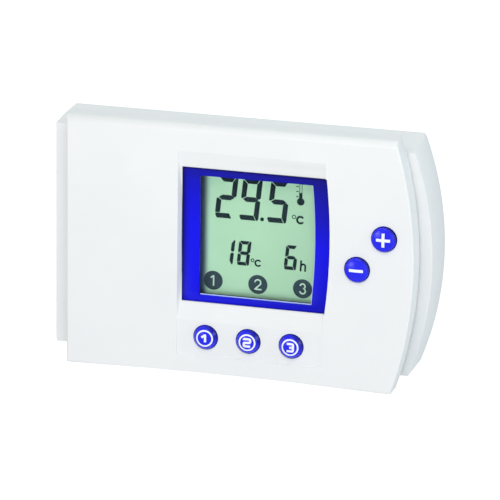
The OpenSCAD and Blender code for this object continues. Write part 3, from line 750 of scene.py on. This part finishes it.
def bars(style, left, digit):
    """Outlines of the lit segments of one digit."""
    w, h, b, g = style["width"], style["height"], style["bar"], style["gap"]
    mid = h / 2
    near, far = w - b, w - b * 0.45  # where the side bars' slanted ends begin and end
    shapes = {
        "a": [(b * 0.45, h), (far - g, h), (near - g, h - b), (b + g, h - b), (b * 0.2 + g, h - b * 0.25)],
        "b": [(w, h - b * 0.3), (w - b * 0.2, h), (far + g, h), (near, h - b - g * 0.5),
              (near, mid + b / 2 + g), (near + b * 0.3, mid + g * 2), (w - b * 0.3, mid + g * 2),
              (w, mid + b * 0.4)],
        "c": [(w, mid - b * 0.4), (w - b * 0.3, mid - g * 2), (near + b * 0.3, mid - g * 2),
              (near, mid - b / 2 - g), (near, b + g * 0.5), (far + g, 0), (w - b * 0.2, 0), (w, b * 0.3)],
        "d": [(0.05, b * 0.75), (b * 0.25, b), (near - g, b), (far - g, 0), (b * 0.45, 0)],
        "e": [(0, mid - g * 3), (b * 0.3, mid - g * 2), (b, mid - b / 2 - g), (b, b + g), (0, b + g)],
        "f": [(0, h - b * 0.45), (b * 0.15, h - b * 0.3), (b, h - b - g), (b, mid + b / 2 + g),
              (b * 0.3, mid + g * 2), (0, mid + g * 3)],
        "g": [(b * 0.4, mid), (b * 1.1, mid + b / 2), (w - b * 1.1, mid + b / 2),
              (w - b * 0.4, mid), (w - b * 1.1, mid - b / 2), (b * 1.1, mid - b / 2)],
    }
    return [placed(shapes[s], (left, style["bottom"]), 1, style["slant"]) for s in SEGMENTS[digit]]


def display_piece(name, material, outlines=(), lines=(), lift=MARK_LIFT):
    """One mark on the display, made of filled outlines and of (points, width) lines."""
    bm = bmesh.new()
    for outline in outlines:
        plate(bm, outline, display_y, lift, MARK_SINK)
    for points, width in lines:
        strip(bm, ribbon(points, width), display_y, lift, MARK_SINK)
    piece(name, bm, "front_unit", material)


def degree_c(ring_at, ring_r, ring_stroke, c_at, c_r, c_stroke):
    """Lines of a degree ring and a C."""
    return [
        (arc(ring_at, ring_r, 0, 180) + arc(ring_at, ring_r, 180, 350)[1:], ring_stroke),
        (arc(c_at, c_r, 50, 310, 18), c_stroke),
    ]


LENS_HIGHLIGHT_WIDTH = 0.34
LENS_HIGHLIGHT_GAP = 0.02  # between the painted highlight strip and the blue frame
LENS_HIGHLIGHT_LIFT, LENS_HIGHLIGHT_SINK = 0.05, 0.02
LENS_HIGHLIGHT_STEPS = 40
# painted light: how much the highlight strip glows
LENS_HIGHLIGHT_PAINTED_GLOW = 0.25
LENS_LAP = 1.15  # how far the lens reaches under the blue frame
LENS_RISE = 0.7  # bow of the window's right edge
LENS_RISE_LEFT = 0.3


def make_painted_lens_highlight():
    """A painted highlight: a pale, glowing strip along the lower and right edges of the lens, where their
    polish catches the light along the frame.
    """
    lo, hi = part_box("lcd_lens")
    left, right = lo.x / MM + LENS_LAP + LENS_RISE_LEFT, hi.x / MM - LENS_LAP
    low, high = lo.z / MM + LENS_LAP, hi.z / MM - LENS_LAP
    half, mid = (high - low) / 2, (high + low) / 2
    bow = (half * half + LENS_RISE * LENS_RISE) / (2 * LENS_RISE)
    inset = LENS_HIGHLIGHT_WIDTH / 2 + LENS_HIGHLIGHT_GAP
    line = [(left + inset, low + inset)]
    for i in range(LENS_HIGHLIGHT_STEPS + 1):
        z = low + inset + (high - low - 2 * inset) * i / LENS_HIGHLIGHT_STEPS
        line.append((right - bow + math.sqrt(bow * bow - (z - mid) ** 2) - inset, z))
    # the painted highlight's pale blue colour
    pale = moulded("painted_lens_highlight", (0.38, 0.5, 0.85), (0.42, 0.54, 0.88), (0.3, 0.4), 0.3)
    bm = bmesh.new()
    rows = ribbon(line, LENS_HIGHLIGHT_WIDTH, round_ends=(False, False))
    strip(bm, rows, surface_of("lcd_lens"), LENS_HIGHLIGHT_LIFT, LENS_HIGHLIGHT_SINK)
    piece("painted_lens_highlight", bm, "front_unit", painted_glow(pale, LENS_HIGHLIGHT_PAINTED_GLOW))


ROOM_DIGITS = (("tens", -8.7, "2"), ("units", -0.25, "9"), ("tenths", 9.45, "5"))  # name, left side, digit
SET_DIGITS = (("tens", -6.45, "1"), ("units", -0.8, "8"))
HOURS_LEFT = 15.6
DOTS = (("1", -8.84), ("2", 6.8), ("3", 22.43))  # numeral and X of each dark dot
DOT_Z = -11.6
DOT_RADIUS = 3.35
DOT_NUMERAL_TALL = 3.4
DOT_NUMERAL_STROKE = 0.5
LETTER_STROKE = 0.62


def make_display():
    """The room temperature above, the set temperature and the hours below it, and a row of numbered dots."""
    ink = moulded("display_ink", (0.008, 0.02, 0.026), (0.012, 0.026, 0.032), (0.4, 0.5), 0.05)
    for name, left, digit in ROOM_DIGITS:
        display_piece(f"display_room_{name}", ink, bars(BIG, left, digit))
    display_piece("display_point", ink, [arc((7.95, 11.4), 0.68, 0, 345, 23)])
    unit = degree_c((19.0, 13.25), 0.6, 0.28, (21.25, 12.35), 1.15, 0.7)
    display_piece("display_room_unit", ink, lines=unit)
    for name, left, digit in SET_DIGITS:
        display_piece(f"display_set_{name}", ink, bars(SMALL, left, digit))
    unit = degree_c((4.85, -3.25), 0.5, 0.3, (6.8, -4.1), 1.0, 0.56)
    display_piece("display_set_unit", ink, lines=unit)
    display_piece("display_hours", ink, bars(SMALL, HOURS_LEFT, "6"))
    stem = [(21.75, -1.9), (21.6, -5.3)]
    leg = arc((22.5, -3.7), 0.72, 175, 10) + [(23.15, -5.3)]
    display_piece("display_hour_letter", ink, lines=[(stem, LETTER_STROKE), (leg, LETTER_STROKE)])
    make_thermometer(ink)
    make_dots()


def make_thermometer(ink):
    """The lower half of a thermometer: a bulb and a filled stem in a tube, with three ticks beside it."""
    (x, z), radius = (21.23, 18.73), 1.3
    left, right, foot, top = x - 0.55, x + 0.55, z + 1.1, 21.8  # of the filled stem
    tube_half, tube_top = 0.4, 24.9
    stem = [(left, foot), (right, foot), (right, top), (left, top)]
    tube = [([(x + side, top), (x + side, tube_top)], 0.2) for side in (-tube_half, tube_half)]
    ticks = [([(19.8, height), (20.3, height)], 0.34) for height in (23.9, 22.2, 20.4)]
    display_piece("display_thermometer", ink, [arc((x, z), radius, 0, 348, 29), stem], tube + ticks)


def make_dots():
    """Dark dots with a pale numeral in each, above the three numbered keys."""
    dark = moulded("display_soft_ink", (0.03, 0.055, 0.07), (0.038, 0.064, 0.08), (0.4, 0.5), 0.05)
    pale = moulded("display_pale", (0.38, 0.6, 0.46), (0.42, 0.64, 0.5), (0.4, 0.5), 0.3)
    for digit, x in DOTS:
        display_piece(f"display_dot_{digit}", dark, [arc((x, DOT_Z), DOT_RADIUS, 0, 352.5, 47)])
        foot = (x, DOT_Z - DOT_NUMERAL_TALL / 2)
        lines = [(placed(line, foot, DOT_NUMERAL_TALL), DOT_NUMERAL_STROKE) for line in PLAIN_NUMERALS[digit]]
        display_piece(f"display_numeral_{digit}", pale, lines=lines, lift=MARK_LIFT + NUMERAL_STEP)


make_camera()
bpy.context.scene.view_settings.view_transform = "Standard"
make_world()
make_floor()
for lamp in LIGHTS:
    make_light(*lamp)
dress_nodes(make_materials())
soften_edges()
make_legends()
make_display()
make_painted_lens_highlight()
